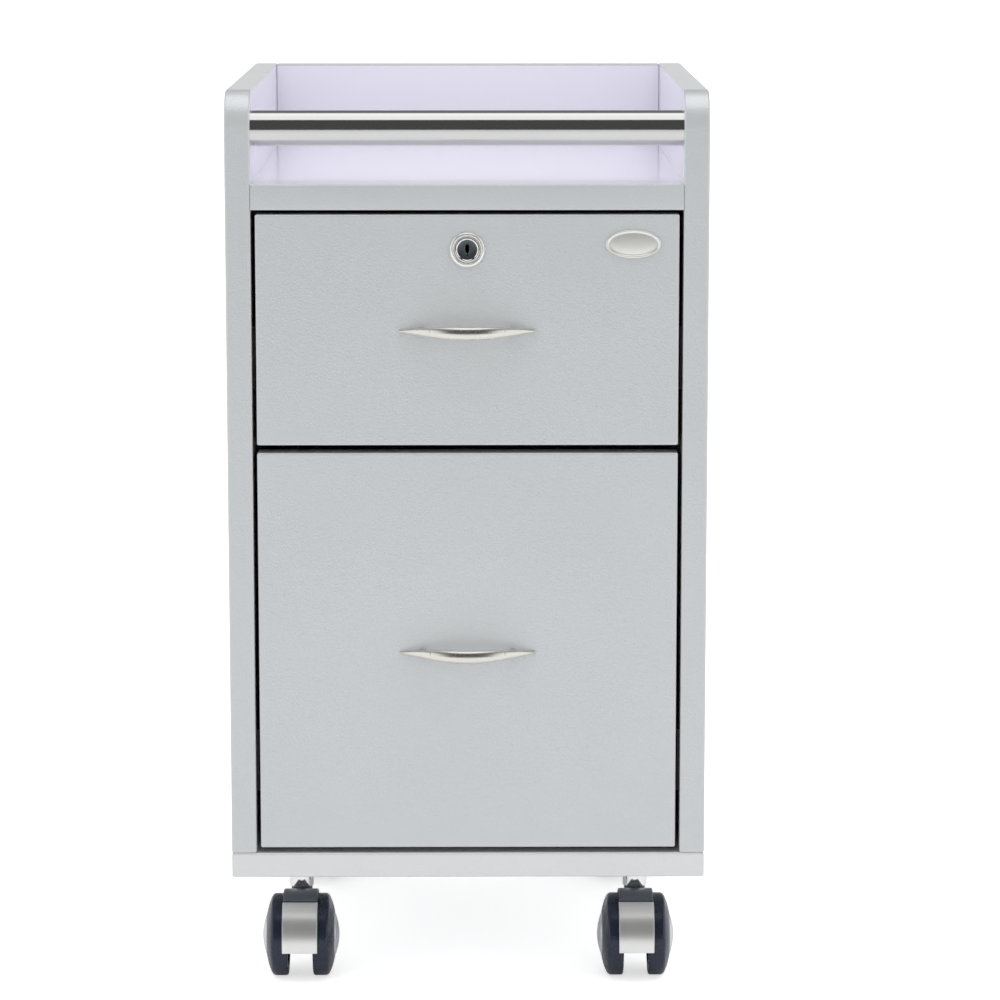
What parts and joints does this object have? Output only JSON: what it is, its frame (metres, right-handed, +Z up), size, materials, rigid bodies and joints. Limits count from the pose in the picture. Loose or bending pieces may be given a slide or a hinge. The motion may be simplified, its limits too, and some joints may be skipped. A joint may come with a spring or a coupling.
{
  "type": "filing cabinet",
  "caption": "Narrow mobile drawer pedestal: open tray with a tube rail on top, a locking box drawer over a deep file drawer, on swivelling twin-wheel casters.",
  "frame": {"origin": "on the floor, in the middle of the whole object's box", "axes": "+Z up; the front and its handles face -Y; +X to the right as seen from the front"},
  "size_m": [0.34, 0.423, 0.647],
  "materials": {
    "silver_foil": "fibreboard wrapped in silver-grey foil with a fine leather grain, satin",
    "box_board": "light grey laminate, matt",
    "rail_steel": "brushed bright tube",
    "nickel": "brushed nickel plating",
    "zinc_steel": "bright zinc plating",
    "chrome": "polished chrome plating",
    "lock_face": "dark satin face with a bright rim",
    "axle_steel": "ground steel",
    "hood_plastic": "dark grey moulded plastic, semi-gloss",
    "wheel_plastic": "black moulded tread and body, satin",
    "cap_silver": "silver painted plastic"
  },
  "bodies": {
    "root": {"left_side_panel": "silver_foil", "right_side_panel": "silver_foil", "bottom_panel": "silver_foil", "tray_shelf": "silver_foil", "back_panel": "silver_foil", "tray_rail": "rail_steel", "carcass_screws": "zinc_steel", "cabinet_runners": "zinc_steel", "caster_stems": "chrome"},
    "top_drawer": {"top_drawer_front": "silver_foil", "top_drawer_sides": "box_board", "top_drawer_rear": "box_board", "top_drawer_bottom": "box_board", "top_handle": "nickel", "top_handle_screws": "zinc_steel", "top_drawer_runners": "zinc_steel", "lock_barrel": "chrome", "lock_nut": "zinc_steel", "badge_plate": "chrome"},
    "bottom_drawer": {"bottom_drawer_front": "silver_foil", "bottom_drawer_sides": "box_board", "bottom_drawer_rear": "box_board", "bottom_drawer_bottom": "box_board", "bottom_handle": "nickel", "bottom_handle_screws": "zinc_steel", "bottom_drawer_runners": "zinc_steel", "file_bars": "zinc_steel"},
    "top_middle": {"top_middle_runners": "zinc_steel"},
    "bottom_middle": {"bottom_middle_runners": "zinc_steel"},
    "lock": {"lock_plug": "lock_face", "lock_cam": "zinc_steel"},
    "front_left_caster": {"front_left_hood": "hood_plastic", "front_left_fender": "chrome", "front_left_axle": "axle_steel"},
    "front_left_outer_roller": {"front_left_outer_wheel": "wheel_plastic", "front_left_outer_cap": "cap_silver"},
    "front_left_inner_roller": {"front_left_inner_wheel": "wheel_plastic", "front_left_inner_cap": "cap_silver"},
    "front_right_caster": {"front_right_hood": "hood_plastic", "front_right_fender": "chrome", "front_right_axle": "axle_steel"},
    "front_right_outer_roller": {"front_right_outer_wheel": "wheel_plastic", "front_right_outer_cap": "cap_silver"},
    "front_right_inner_roller": {"front_right_inner_wheel": "wheel_plastic", "front_right_inner_cap": "cap_silver"},
    "rear_left_caster": {"rear_left_hood": "hood_plastic", "rear_left_fender": "chrome", "rear_left_axle": "axle_steel"},
    "rear_left_outer_roller": {"rear_left_outer_wheel": "wheel_plastic", "rear_left_outer_cap": "cap_silver"},
    "rear_left_inner_roller": {"rear_left_inner_wheel": "wheel_plastic", "rear_left_inner_cap": "cap_silver"},
    "rear_right_caster": {"rear_right_hood": "hood_plastic", "rear_right_fender": "chrome", "rear_right_axle": "axle_steel"},
    "rear_right_outer_roller": {"rear_right_outer_wheel": "wheel_plastic", "rear_right_outer_cap": "cap_silver"},
    "rear_right_inner_roller": {"rear_right_inner_wheel": "wheel_plastic", "rear_right_inner_cap": "cap_silver"}
  },
  "joints": [
    {"name": "top_drawer_slide", "type": "slide", "parent": "root", "child": "top_drawer", "axis": [0, -1, 0], "range_m": [0, 0.33]},
    {"name": "bottom_drawer_slide", "type": "slide", "parent": "root", "child": "bottom_drawer", "axis": [0, -1, 0], "range_m": [0, 0.33]},
    {"name": "top_middle_slide", "type": "slide", "parent": "root", "child": "top_middle", "axis": [0, -1, 0], "range_m": [0, 0.165]},
    {"name": "bottom_middle_slide", "type": "slide", "parent": "root", "child": "bottom_middle", "axis": [0, -1, 0], "range_m": [0, 0.165]},
    {"name": "lock_turn", "type": "hinge", "parent": "top_drawer", "child": "lock", "pos_m": [0, -0.1885, 0.5363], "axis": [0, -1, 0], "range_deg": [0, 90]},
    {"name": "front_left_swivel", "type": "hinge", "parent": "root", "child": "front_left_caster", "pos_m": [-0.1223, -0.1315, 0.0629], "axis": [0, 0, 1], "continuous": true},
    {"name": "front_left_outer_roll", "type": "hinge", "parent": "front_left_caster", "child": "front_left_outer_roller", "pos_m": [-0.1223, -0.1495, 0.03], "axis": [1, 0, 0], "continuous": true},
    {"name": "front_left_inner_roll", "type": "hinge", "parent": "front_left_caster", "child": "front_left_inner_roller", "pos_m": [-0.1223, -0.1495, 0.03], "axis": [1, 0, 0], "continuous": true},
    {"name": "front_right_swivel", "type": "hinge", "parent": "root", "child": "front_right_caster", "pos_m": [0.1223, -0.1315, 0.0629], "axis": [0, 0, 1], "continuous": true},
    {"name": "front_right_outer_roll", "type": "hinge", "parent": "front_right_caster", "child": "front_right_outer_roller", "pos_m": [0.1223, -0.1495, 0.03], "axis": [1, 0, 0], "continuous": true},
    {"name": "front_right_inner_roll", "type": "hinge", "parent": "front_right_caster", "child": "front_right_inner_roller", "pos_m": [0.1223, -0.1495, 0.03], "axis": [1, 0, 0], "continuous": true},
    {"name": "rear_left_swivel", "type": "hinge", "parent": "root", "child": "rear_left_caster", "pos_m": [-0.1223, 0.1545, 0.0629], "axis": [0, 0, 1], "continuous": true},
    {"name": "rear_left_outer_roll", "type": "hinge", "parent": "rear_left_caster", "child": "rear_left_outer_roller", "pos_m": [-0.1223, 0.1365, 0.03], "axis": [1, 0, 0], "continuous": true},
    {"name": "rear_left_inner_roll", "type": "hinge", "parent": "rear_left_caster", "child": "rear_left_inner_roller", "pos_m": [-0.1223, 0.1365, 0.03], "axis": [1, 0, 0], "continuous": true},
    {"name": "rear_right_swivel", "type": "hinge", "parent": "root", "child": "rear_right_caster", "pos_m": [0.1223, 0.1545, 0.0629], "axis": [0, 0, 1], "continuous": true},
    {"name": "rear_right_outer_roll", "type": "hinge", "parent": "rear_right_caster", "child": "rear_right_outer_roller", "pos_m": [0.1223, 0.1365, 0.03], "axis": [1, 0, 0], "continuous": true},
    {"name": "rear_right_inner_roll", "type": "hinge", "parent": "rear_right_caster", "child": "rear_right_inner_roller", "pos_m": [0.1223, 0.1365, 0.03], "axis": [1, 0, 0], "continuous": true}
  ],
  "couplings": [
    {"joint": "top_middle_slide", "follows": "top_drawer_slide", "ratio": 0.5},
    {"joint": "bottom_middle_slide", "follows": "bottom_drawer_slide", "ratio": 0.5}
  ]
}
